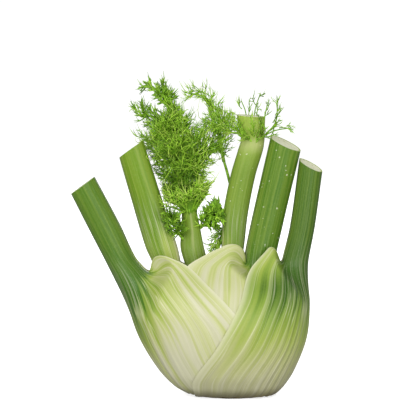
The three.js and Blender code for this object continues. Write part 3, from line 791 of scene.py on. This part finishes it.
def leaf_material(leaf, settings):
    """Waxy skin: pale and ribbed below, green and finely veined above, with a pithy cut face."""
    paint = Paint(leaf["name"] + "_skin", Coat_Roughness=0.12, Specular_IOR_Level=0.18)
    across = paint.attribute("across")
    along = paint.attribute("along")
    rib = paint.attribute("rib")
    cut = paint.attribute("cut")
    stalk = paint.attribute("stalk")
    sheath = 1 - stalk
    lane = across + (paint.noise(paint.vector(across * 3.0, along * 0.05, 9.0), 1.0) - 0.5) * 0.05

    def streaks(count, stretch, layer, detail):
        """Noise drawn out along the leaf: about so many streaks across it."""
        return paint.noise(paint.vector(lane * count, along * stretch, layer), detail)

    fibres = streaks(70.0, 0.03, 0.0, 3.0)
    bands = streaks(15.0, 0.018, 5.0, 2.0).between(0.38, 0.62)
    vein = (1 - abs(streaks(22.0, 0.01, 2.0, 1.0) - 0.5) * 36.0).clamped()
    stripes = streaks(6.5, 0.006, 7.0, 1.0).between(0.46, 0.60)
    patches = paint.noise(paint.place((60.0, 60.0, 40.0)), 3.0)
    speckle = paint.noise(paint.place((900.0, 900.0, 900.0)), 2.0)
    crest = rib.between(0.55, 0.92)
    furrow = (1 - rib).between(0.55, 0.92)

    # From the white foot to the green stalk, with streaks that are strongest half way.
    green = paint.attribute("green")
    middle = green * (1 - green) * 4
    marks = middle * ((bands - 0.5) * 0.08 + (patches - 0.5) * 0.14) + bands * sheath * 0.15
    # Furrows greener in the skin's own colour; the rib crests lightened as painted highlight.
    marks = marks + (furrow - crest) * (0.05 + middle * 0.05)
    marks = marks + (fibres - 0.5) * 0.3 - vein * sheath * (0.06 + middle * 0.06)
    depth = green + marks * leaf.get("contrast", 1.0)
    skin = paint.ramp(
        depth.clamped(),
        [
            (0.0, settings.white),
            (0.22, settings.pale),
            (0.50, settings.yellow_green),
            (0.76, settings.fresh_green),
            (1.0, leaf["stalk_color"]),
        ],
    )
    # Over it lie the greyed foot, partly painted shade, the stalk's tip, pale lines, those on the sheath's
    # rib crests painted highlight, thin rims, whose line past the notch is painted highlight, specks and the
    # trimmed brown edge.
    end = leaf["stalk"][-1][0]
    # Greyed foot: partly the foot's own colour, partly painted shade low on the bulb and over the outer
    # right leaf.
    foot_grey_and_shade = 1 - along.between(0.0, leaf.get("grey_to", GREY_AND_SHADE_TO))
    brown = 1 - along.between(*BROWN_HEIGHTS)
    layers = [
        (foot_grey_and_shade * (0.35 + patches * 0.4), settings.foot),
        (along.between(end - TIP_RUN, end) * 0.8, leaf["tip_color"]),
        ((crest * 0.5 + vein * 0.5) * stalk * (0.1 + fibres * 0.4), settings.vein),
        (stalk * (stripes * 0.7 + bands * 0.3) * leaf["stripes"], settings.vein),
        # Pale lines on the sheath: the veins in their own colour, the rib crests as painted highlight.
        (sheath * (crest * 0.2 + vein * 0.35), settings.rim_color),
        # Pale thin edges of the sheaths, with a painted highlight where the line runs on up the stalk.
        (paint.attribute("rim") * 0.6, settings.rim_color),
        ((speckle - 0.5) * 0.1, settings.speckle),
        (brown * (0.6 + patches * 0.4), settings.cut_brown),
    ]
    # Painted light: a band of fresh green lifts the shade in the crease where the sheath arches into its
    # stalk.
    if "blend" in leaf:
        neck = leaf["blend"][1]
        turn = along.between(neck - 26, neck - 10) - along.between(neck - 6, neck + 8)
        layers.append((turn * stalk * 0.35, settings.fresh_green))
    # Painted highlights: pale specks that stand for the glints of water droplets, which are not modelled.
    if "drops" in leaf:
        drops = paint.noise(paint.place((620.0, 620.0, 620.0)), 0.0).between(0.78, 0.82)
        layers.append((drops * stalk * leaf["drops"], settings.pith))
    if "ridge" in leaf:
        ridge = (1 - abs(lane - leaf["ridge"]) * 14.0).clamped() * along.between(76.0, 90.0)
        layers.append((ridge * (0.25 + patches * 0.4), settings.pale))
    if "node" in leaf:
        node = leaf["node"]
        swelling = along.between(node - 7, node) - along.between(node, node + 5)
        layers.append((swelling * (0.3 + patches * 0.4), settings.pale))
    for strength, tint in layers:
        skin = paint.mixed(strength, skin, tint)

    # The cut face: a green ring and white pith with bundles of fibres.
    bundles = paint.noise(paint.place((700.0, 700.0, 300.0)), 2.0).between(0.52, 0.66)
    pith = paint.mixed(bundles * 0.5, settings.pith, settings.pale)
    face = paint.mixed(cut.between(0.05, 0.16), settings.yellow_green, pith)
    skin = paint.mixed(cut.between(0.004, 0.02), skin, face)

    on_face = cut.between(0.0, 0.03)
    rough = settings.roughness + (fibres - 0.5) * 0.12 + (speckle - 0.5) * 0.1 + on_face * 0.3
    relief = fibres * 0.6 + speckle * 0.25 + bundles * cut.between(0.05, 0.1) * 0.6
    return paint.finish(
        Base_Color=skin,
        Roughness=rough.clamped(),
        Coat_Weight=(0.06 - on_face * 0.06).clamped(),
        Normal=paint.bump(relief, 0.00025, 0.5),
    )


def model_leaves(leaves, settings, grid):
    """Pieces of leaves, each pressed in by those before it where they have sheaths."""
    for number, leaf in enumerate(leaves):
        piece = leaf_piece(leaf, leaves[:number], settings, grid)
        settle(piece, leaf_material(leaf, settings), leaf["name"])


def line_through(path, count):
    """Points evenly spaced along a smooth curve through a path, and the directions there."""
    rows = [[knot, *point] for knot, point in enumerate(path)]
    samples = through(rows, np.arange((len(path) - 1) * PATH_STEPS + 1) / PATH_STEPS).T
    lengths = np.concatenate([[0], np.cumsum(np.linalg.norm(np.diff(samples, axis=0), axis=1))])
    wanted = np.linspace(0, lengths[-1], count)
    points = np.stack([np.interp(wanted, lengths, samples[:, k]) for k in range(3)], axis=1)
    return points, unit(np.gradient(points, axis=0))


def square_to(along):
    """Two directions square to each given one."""
    helper = np.where(np.abs(along[:, 2:]) < 0.9, [[0.0, 0.0, 1.0]], [[1.0, 0.0, 0.0]])
    right = unit(np.cross(helper, along))
    return right, np.cross(along, right)


def leaning(along, angle, turn):
    """Directions at an angle to the given ones, turned round them, in degrees."""
    right, up = square_to(along)
    angle, turn = np.radians(angle)[..., None], np.radians(turn)[..., None]
    return along * np.cos(angle) + np.sin(angle) * (right * np.cos(turn) + up * np.sin(turn))


class Sprays:
    """Bent threads gathered as three points each, with the width at their foot and a tone."""

    def __init__(self, seed):
        self.random = np.random.default_rng(seed)
        self.points = []
        self.widths = []
        self.tones = []

    def add(self, thread, width, tone):
        count = len(thread[0])
        self.points.append(np.stack(thread, axis=1))
        self.widths.append(np.broadcast_to(width, count))
        self.tones.append(np.broadcast_to(tone, count))

    def sprout(self, thread, share, lean, turn, size, lift, wander):
        """Threads that leave others at a share of their length, their middles moved at random."""
        foot, along = on_thread(*thread, share)
        middle, end = bent(foot, leaning(along, lean, turn), size, lift)
        moved = self.random.normal(0, wander, foot.shape)
        return foot, middle + moved * size[:, None], end


def bent(start, way, reach, lift):
    """Middle and end of a thread that starts along way and is lifted as it goes."""
    rise = np.zeros_like(start)
    rise[:, 2] = lift * reach
    return start + way * (reach / 2)[:, None] + rise / 4, start + way * reach[:, None] + rise


def on_thread(start, middle, end, share):
    """Points of bent threads at a share of their length, and the directions there."""
    share = np.broadcast_to(share, len(start))[:, None]
    control = 2 * middle - (start + end) / 2
    first = start + (control - start) * share
    second = control + (end - control) * share
    return first + (second - first) * share, unit(second - first)


def swayed(points):
    """Points moved by slow waves, so that neighbouring needles bend together."""
    x, y, z = np.moveaxis(points, -1, 0)
    sway = [
        np.sin(z / 3.1 + y / 4.3) + np.sin(y / 2.6 - x / 3.7),
        np.sin(x / 3.3 + z / 3.9) + np.sin(z / 2.4 - x / 4.1),
        np.sin(y / 3.5 + x / 2.9) + np.sin(x / 2.2 - y / 3.3),
    ]
    return points + SWAY * np.stack(sway, axis=-1)


def grow(sprays, frond, settings):
    """Branches round each stem, with their arcs, strands and needles."""
    random = sprays.random
    width = settings.needle_width / MM
    for number, (path, _, branches, reach, tilt, curl, needle) in enumerate(frond["stems"]):
        count = int(round(branches * frond["branches"]))
        share = (np.arange(count) + 0.5) / count
        points, ways = line_through(path, STEM_POINTS)
        index = np.rint(share * (STEM_POINTS - 1)).astype(int)
        length = np.interp(share, [0, 0.5, 1], reach) * random.uniform(0.8, 1.1, count)
        keep = length > SHORTEST_BRANCH
        lean = tilt + random.normal(0, 9, count)
        way = leaning(ways[index], lean, number * STEM_TURN + np.arange(count) * GOLDEN)[keep]
        ways = ways[index][keep]
        outward = unit(way - ways * np.sum(way * ways, axis=1)[:, None])
        start = points[index][keep] + outward * frond.get("ring", 0)
        branch = start, *bent(start, way, length[keep], curl)
        sprays.add(branch, width * frond["rib"], BRANCH_TONE)
        # Painted shade: branches low on the stem are darkened for the shade within the plume.
        painted_deep_shade = frond.get("painted_deep_shade", 0) * (1 - smooth(share[keep], 0, 0.6))
        grow_arcs(sprays, frond, branch, needle, width, painted_deep_shade)
        grow_strands(sprays, frond, branch, needle, width * frond["stout"], painted_deep_shade)


def grow_arcs(sprays, frond, branch, needle, width, painted_deep_shade):
    """Fine curved needles at any place on each branch."""
    random = sprays.random
    n = len(branch[0])
    for _ in range(frond["arcs"]):
        share = random.uniform(frond["bare"], 0.95, n)
        lean = random.uniform(*ARC_LEAN, n)
        turn = random.uniform(0, 360, n)
        size = needle * random.uniform(0.7, 1.5, n)
        thread = sprays.sprout(branch, share, lean, turn, size, random.normal(-0.05, 0.4, n), 0.16)
        sprays.add(thread, width, random.uniform(0.5, 1.1, n) - painted_deep_shade)


def grow_strands(sprays, frond, branch, needle, width, painted_deep_shade):
    """Pairs of strands up each branch, each with pairs of needles that fork from it."""
    random = sprays.random
    n = len(branch[0])
    for strand in range(frond["strands"]):
        at = frond["bare"] + (1 - frond["bare"]) * (strand + 0.6) / (frond["strands"] + 0.2)
        for side in (0, 180):
            turn = STRAND_TURN * strand + side + random.normal(0, 26, n)
            lean = STRAND_LEAN + random.normal(0, 9, n)
            size = needle * (1.45 - 0.6 * at) * random.uniform(0.6, 1.15, n)
            thread = sprays.sprout(branch, at, lean, turn, size, random.normal(0.05, 0.3, n), 0.07)
            tone = random.beta(1.3, 2.4, n) - painted_deep_shade
            sprays.add(thread, width, tone)
            for fork, hand in itertools.product(range(frond["forks"]), (0, 180)):
                spot = (fork + 0.7) / (frond["forks"] + 0.7)
                turn = 90.0 * fork + hand + random.normal(0, 30, n)
                lean = FORK_LEAN + random.normal(0, 8, n)
                small = size * (0.85 - 0.4 * spot) * random.uniform(0.6, 1.1, n)
                tip = sprays.sprout(thread, spot, lean, turn, small, random.normal(0.05, 0.3, n), 0.06)
                sprays.add(tip, width * FORK_WIDTH, tone + random.normal(0.05, 0.15, n))


def inside_stalks(points, leaves):
    """True for points that lie in or on a stalk."""
    px, py, pz = np.moveaxis(points, -1, 0)
    hit = np.zeros(pz.shape, bool)
    for leaf in leaves:
        x, y, half_width, half_depth = through(leaf["stalk"], pz)
        away = ((px - x) / (half_width + CLEARANCE)) ** 2 + ((py - y) / (half_depth + CLEARANCE)) ** 2
        hit |= (away < 1) & (pz < leaf["stalk"][-1][0] + OVER_CUT) & (pz > leaf["stalk"][0][0])
    return hit


def tube_faces(segments, sides):
    """Triangles of a closed tube whose points are numbered ring by ring."""
    faces = []
    for s in range(segments):
        for k in range(sides):
            a = s * sides + k
            b = s * sides + (k + 1) % sides
            faces += [[a, b, b + sides], [a, b + sides, a + sides]]
    last = segments * sides
    for k in range(1, sides - 1):
        faces += [[0, k + 1, k], [last, last + k, last + k + 1]]
    return np.array(faces)


def thread_mesh(points, widths, tones, sides, shares):
    """Vertices, triangles, tones and shares of tubes bent through three points each.

    widths holds each tube's width at each of the shares of its length.
    """
    rings = []
    for share, width in zip(shares, widths.T):
        spot, along = on_thread(*np.moveaxis(points, 1, 0), share)
        right, up = square_to(along)
        for k in range(sides):
            turn = 2 * math.pi * k / sides
            rings.append(spot + (width / 2)[:, None] * (right * math.cos(turn) + up * math.sin(turn)))
    vertices = np.stack(rings, axis=1)
    offsets = np.arange(len(points))[:, None, None] * len(rings)
    triangles = tube_faces(len(shares) - 1, sides)[None] + offsets
    reach = np.tile(np.repeat(shares, sides), len(points))
    return vertices.reshape(-1, 3), triangles.reshape(-1, 3), np.repeat(tones, len(rings)), reach


def needle_mesh(points, widths, tones):
    """Needles, strands and branches that taper to their tips."""
    taper = 1 - NEEDLE_TAPER[0] * NEEDLE_SHARES ** NEEDLE_TAPER[1]
    return thread_mesh(points, widths[:, None] * taper, tones, NEEDLE_SIDES, NEEDLE_SHARES)


def stem_mesh(path, radius, tone):
    """A stem as a row of short tubes."""
    line, _ = line_through(path, 2 * STEM_TUBES + 1)
    knots = np.stack([line[:-1:2], line[1::2], line[2::2]], axis=1)
    sizes = 2 * radius * np.linspace(1, STEM_TAPER, STEM_TUBES + 1)[:, None]
    widths = mix(sizes[:-1], sizes[1:], STEM_SHARES)
    tones = np.full(STEM_TUBES, tone)
    vertices, triangles, tone, reach = thread_mesh(knots, widths, tones, STEM_SIDES, STEM_SHARES)
    return vertices, triangles, tone, 0 * reach


def cup_mesh(rings):
    """A closed turned form with shallow ribs, through rings of centre and radius."""
    turns = np.arange(CUP_SIDES) * 2 * math.pi / CUP_SIDES
    ripple = 1 + CUP_RIPPLE * np.cos(CUP_RIBS * turns)
    circle = np.stack([ripple * np.cos(turns), ripple * np.sin(turns), 0 * turns], axis=1)
    vertices = np.concatenate([np.array([x, y, z]) + radius * circle for x, y, z, radius in rings])
    triangles = tube_faces(len(rings) - 1, CUP_SIDES)
    return vertices, triangles, np.full(len(vertices), CUP_TONE), np.zeros(len(vertices))


def mesh_piece(name, vertices, triangles, attributes):
    """A piece from vertices in millimetres and triangles."""
    mesh = bpy.data.meshes.new(name)
    mesh.vertices.add(len(vertices))
    mesh.vertices.foreach_set("co", (vertices * MM).ravel())
    mesh.loops.add(triangles.size)
    mesh.loops.foreach_set("vertex_index", triangles.ravel().astype(np.int32))
    mesh.polygons.add(len(triangles))
    mesh.polygons.foreach_set("loop_start", np.arange(0, triangles.size, 3, dtype=np.int32))
    set_attributes(mesh, attributes)
    mesh.update(calc_edges=True)
    mesh.validate()
    piece = bpy.data.objects.new(name, mesh)
    bpy.context.collection.objects.link(piece)
    deselect()
    bpy.context.view_layer.objects.active = piece
    piece.select_set(True)
    bpy.ops.object.shade_smooth()
    return piece


def shortened(points, share):
    """Bent threads cut off at a share of their length."""
    start, middle, end = np.moveaxis(points, 1, 0)
    halfway, tip = [on_thread(start, middle, end, part)[0] for part in (share / 2, share)]
    return np.stack([start, halfway, tip], axis=1)


def touching(points, leaves):
    """True for bent threads that reach into a stalk."""
    thread = np.moveaxis(points, 1, 0)
    probes = np.stack([on_thread(*thread, share)[0] for share in PROBES], axis=1)
    return inside_stalks(probes, leaves).any(axis=1)


def frond_piece(frond, settings, seed, leaves):
    """A frond: needles on their branches, kept clear of the stalks beside it, and its stems."""
    sprays = Sprays(seed)
    grow(sprays, frond, settings)
    points = swayed(np.concatenate(sprays.points))
    widths = np.concatenate(sprays.widths)
    tones = np.concatenate(sprays.tones) + frond["lighter"]
    beside = [leaf for leaf in leaves if leaf is not frond.get("on")]
    for share in CUT_BACK:
        hit = touching(points, beside)
        points[hit] = shortened(points[hit], share)
    clear = ~touching(points, beside)
    parts = [needle_mesh(points[clear], widths[clear], tones[clear])]
    for path, radius, *_ in frond["stems"]:
        parts.append(stem_mesh(frond.get("foot", []) + path, radius, frond.get("stem_tone", STEM_TONE)))
    if "cup" in frond:
        parts.append(cup_mesh(frond["cup"]))
    vertices, triangles, tone, reach = zip(*parts)
    offsets = np.cumsum([0] + [len(part) for part in vertices])
    triangles = np.concatenate([part + offset for part, offset in zip(triangles, offsets)])
    attributes = {"tone": np.concatenate(tone), "reach": np.concatenate(reach)}
    return mesh_piece(frond["name"], np.concatenate(vertices), triangles, attributes)


def frond_material(name, settings):
    """Matt green threads, each a little lighter or darker than the next, with paler tips."""
    paint = Paint(name, Specular_IOR_Level=0.35)
    tone = paint.attribute("tone")
    reach = paint.attribute("reach")
    patches = paint.noise(paint.place((90.0, 90.0, 90.0)), 2.0)
    depth = tone * 0.85 + reach * 0.12 + (patches - 0.5) * 0.4
    color = paint.ramp(
        depth.clamped(),
        [(0.0, settings.dark), (0.45, settings.middle), (0.85, settings.bright), (1.0, settings.light)],
    )
    return paint.finish(Base_Color=color, Roughness=(0.42 + (patches - 0.5) * 0.2).clamped())


def amount(name, text, default, **kind):
    """A number that a user would change."""
    return bpy.props.FloatProperty(name=name, description=text, default=default, **kind)


def color(name, text, default):
    """A colour that a user would change."""
    return bpy.props.FloatVectorProperty(name=name, description=text, default=default, subtype="COLOR")


class FennelLeafSettings(bpy.types.PropertyGroup):
    """Sizes and colours of the leaves."""

    ribs: bpy.props.IntProperty(name="Ribs", description="Ribs across a whole sheath", default=24)
    rib_depth: amount("Rib depth", "Depth of the furrows on the sheaths", 0.00055, unit="LENGTH")
    stalk_rib_depth: amount("Stalk rib depth", "Depth of the furrows on the stalks", 0.00016, unit="LENGTH")
    roughness: amount("Roughness", "Roughness of the waxy skin", 0.40, subtype="FACTOR")
    white: color("White", "Colour low on the sheaths", (0.62, 0.61, 0.415))
    # Partly painted shade: the grey laid over the sheaths' feet and the lower outer right leaf.
    foot: color("Foot", "Colour at the foot of the sheaths", (0.35, 0.335, 0.17))
    cut_brown: color("Trimmed edge", "Colour of the trimmed feet", (0.075, 0.052, 0.004))
    pale: color("Pale", "Colour of the sheaths' middles", (0.54, 0.57, 0.24))
    yellow_green: color("Yellow green", "Colour of the upper sheaths", (0.37, 0.465, 0.085))
    fresh_green: color("Fresh green", "Colour of the stalks' feet", (0.23, 0.35, 0.046))
    vein: color("Vein", "Colour of the fine lines on stalks", (0.33, 0.43, 0.07))
    # Colour of the sheaths' pale edges and veins, and of painted highlights on rib crests and up the stalks.
    rim_color: color("Rim", "Colour of the sheaths' thin edges", (0.72, 0.715, 0.49))
    speckle: color("Speckle", "Colour of the fine specks", (0.9, 0.95, 0.6))
    pith: color("Pith", "Colour of the cut faces", (0.80, 0.81, 0.58))


class FennelFrondSettings(bpy.types.PropertyGroup):
    """Sizes and colours of the fronds."""

    needle_width: amount("Needle width", "Width of a needle at its foot", 0.00062, unit="LENGTH")
    dark: color("Dark", "Darkest needles", (0.115, 0.265, 0.014))
    middle: color("Middle", "Most needles", (0.350, 0.650, 0.042))
    bright: color("Bright", "Brighter needles", (0.540, 0.820, 0.085))
    light: color("Light", "Palest needles", (0.680, 0.870, 0.180))


class FennelStageSettings(bpy.types.PropertyGroup):
    """The camera, the lights and the floor."""

    distance: amount("Distance", "From the camera to the bulb", 1.1, unit="LENGTH")
    elevation: amount("Elevation", "Camera's angle above the floor", math.radians(6), subtype="ANGLE")
    lens: amount("Lens", "Focal length in millimetres", 168.5)
    key_power: amount("Key", "Power of the main light", 8.0, unit="POWER")
    fill_power: amount("Fill", "Power of the fill light", 6.0, unit="POWER")
    back_power: amount("Back", "Power of the light behind the bulb", 5.0, unit="POWER")
    sky: amount("Sky", "Strength of the light from all round", 0.36)
    floor_glow: amount("Glow", "Light that the floor adds", 0.75)
    floor_color: color("Floor", "Colour of the floor", (0.92, 0.92, 0.92))


class FENNEL_OT_wrapping_leaves(bpy.types.Operator):
    """Models the three leaves whose sheaths wrap the bulb"""

    bl_idname = "fennel.wrapping_leaves"
    bl_label = "Wrapping leaves"

    def execute(self, context):
        model_leaves(WRAPS, context.scene.fennel_leaves, WRAP_GRID)
        return {"FINISHED"}


class FENNEL_OT_heart_leaves(bpy.types.Operator):
    """Models the stalks in the heart of the bulb"""

    bl_idname = "fennel.heart_leaves"
    bl_label = "Heart leaves"

    def execute(self, context):
        model_leaves(HEARTS, context.scene.fennel_leaves, HEART_GRID)
        return {"FINISHED"}


class FENNEL_OT_fronds(bpy.types.Operator):
    """Models the feathery fronds"""

    bl_idname = "fennel.fronds"
    bl_label = "Fronds"

    def execute(self, context):
        settings = context.scene.fennel_fronds
        material = frond_material("frond_needles", settings)
        for seed, frond in enumerate(FRONDS):
            piece = frond_piece(frond, settings, seed, WRAPS + HEARTS)
            settle(piece, material, frond["node"])
        return {"FINISHED"}


class FENNEL_OT_root_end(bpy.types.Operator):
    """Models the trimmed root end"""

    bl_idname = "fennel.root_end"
    bl_label = "Root end"

    def execute(self, context):
        turn = np.linspace(0, 2 * math.pi, ROOT_SIDES, endpoint=False)
        rows = []
        for radius, z in ROOT_RINGS:
            wobble = 1 + 0.015 * np.sin(7 * turn + z) + 0.01 * np.sin(17 * turn)
            x = ROOT_CENTRE + ROOT_WIDTH * radius * wobble * np.cos(turn)
            y = ROOT_DEPTH * radius * wobble * np.sin(turn)
            rows.append(np.stack([x, y, z + 0 * x], axis=-1))
        piece = rolled_sheet("root_end_stub", np.array(rows), {})
        paint = Paint("root_end_stub")
        grain = paint.noise(paint.place((300.0, 300.0, 300.0)), 4.0)
        material = paint.finish(
            Base_Color=paint.ramp(grain.clamped(), ROOT_COLORS),
            Roughness=0.6 + grain * 0.3,
            Normal=paint.bump(grain, 0.0005, 1.0),
        )
        settle(piece, material, "root_end")
        return {"FINISHED"}


class FENNEL_OT_stage(bpy.types.Operator):
    """Sets up the camera, the lights and the floor"""

    bl_idname = "fennel.stage"
    bl_label = "Studio"

    def execute(self, context):
        scene = context.scene
        settings = scene.fennel_stage
        scene.view_settings.view_transform = "Standard"
        deselect()
        bpy.ops.mesh.primitive_plane_add(size=FLOOR_SIZE, location=(0, 0, 0))
        floor = context.object
        floor.name = "studio_floor"
        glow = {"Emission_Color": (1, 1, 1, 1), "Emission_Strength": settings.floor_glow}
        paint = Paint("studio_floor", Roughness=0.7, **glow)
        floor.data.materials.append(paint.finish(Base_Color=(*settings.floor_color, 1.0)))
        floor.visible_diffuse = False
        floor.visible_glossy = False

        centre = np.array(VIEW_CENTRE) * MM
        rise = settings.elevation
        offset = settings.distance * np.array([0, -math.cos(rise), math.sin(rise)])
        bpy.ops.object.camera_add(location=centre + offset, rotation=(math.pi / 2 - rise, 0, 0))
        camera = context.object
        camera.data.lens = settings.lens
        camera.data.sensor_width = SENSOR_WIDTH
        camera.data.clip_start = CLIP_START
        scene.camera = camera

        for name, (place, size) in LIGHTS.items():
            self.lamp(name + "_light", place, size, getattr(settings, name + "_power"))

        world = bpy.data.worlds.new("studio_sky")
        scene.world = world
        world.use_nodes = True
        nodes, links = world.node_tree.nodes, world.node_tree.links
        seen = nodes.new("ShaderNodeLightPath")
        strength = nodes.new("ShaderNodeMapRange")
        strength.inputs["To Min"].default_value = settings.sky
        strength.inputs["To Max"].default_value = BACKDROP
        links.new(seen.outputs["Is Camera Ray"], strength.inputs["Value"])
        links.new(strength.outputs[0], nodes["Background"].inputs["Strength"])
        nodes["Background"].inputs["Color"].default_value = (1, 1, 1, 1)
        return {"FINISHED"}

    def lamp(self, name, place, size, power):
        """A square soft light that looks at the middle of the bulb."""
        bpy.ops.object.light_add(type="AREA", location=place)
        lamp = bpy.context.object
        lamp.name = name
        lamp.data.energy = power
        lamp.data.size = size
        away = np.array(place) - np.array(VIEW_CENTRE) * MM
        flat = math.hypot(away[0], away[1])
        lamp.rotation_euler = (math.atan2(flat, away[2]), 0, math.atan2(away[0], -away[1]))


class FENNEL_PT_panel(bpy.types.Panel):
    """The fennel's settings and steps"""

    bl_idname = "FENNEL_PT_panel"
    bl_label = "Fennel"
    bl_space_type = "VIEW_3D"
    bl_region_type = "UI"
    bl_category = "Fennel"

    def draw(self, context):
        for group in ("fennel_leaves", "fennel_fronds", "fennel_stage"):
            settings = getattr(context.scene, group)
            box = self.layout.box()
            for key in settings.__annotations__:
                box.prop(settings, key)
        for step in STEPS:
            self.layout.operator(step.bl_idname)


STEPS = [
    FENNEL_OT_wrapping_leaves,
    FENNEL_OT_heart_leaves,
    FENNEL_OT_fronds,
    FENNEL_OT_root_end,
    FENNEL_OT_stage,
]
GROUPS = {
    "fennel_leaves": FennelLeafSettings,
    "fennel_fronds": FennelFrondSettings,
    "fennel_stage": FennelStageSettings,
}


def register():
    for item in [*GROUPS.values(), *STEPS, FENNEL_PT_panel]:
        bpy.utils.register_class(item)
    for key, group in GROUPS.items():
        setattr(bpy.types.Scene, key, bpy.props.PointerProperty(type=group))


def unregister():
    for key in GROUPS:
        delattr(bpy.types.Scene, key)
    for item in reversed([*GROUPS.values(), *STEPS, FENNEL_PT_panel]):
        bpy.utils.unregister_class(item)


def main():
    register()
    bpy.ops.fennel.wrapping_leaves()
    bpy.ops.fennel.heart_leaves()
    bpy.ops.fennel.fronds()
    bpy.ops.fennel.root_end()
    bpy.ops.fennel.stage()


if __name__ == "__main__":
    main()
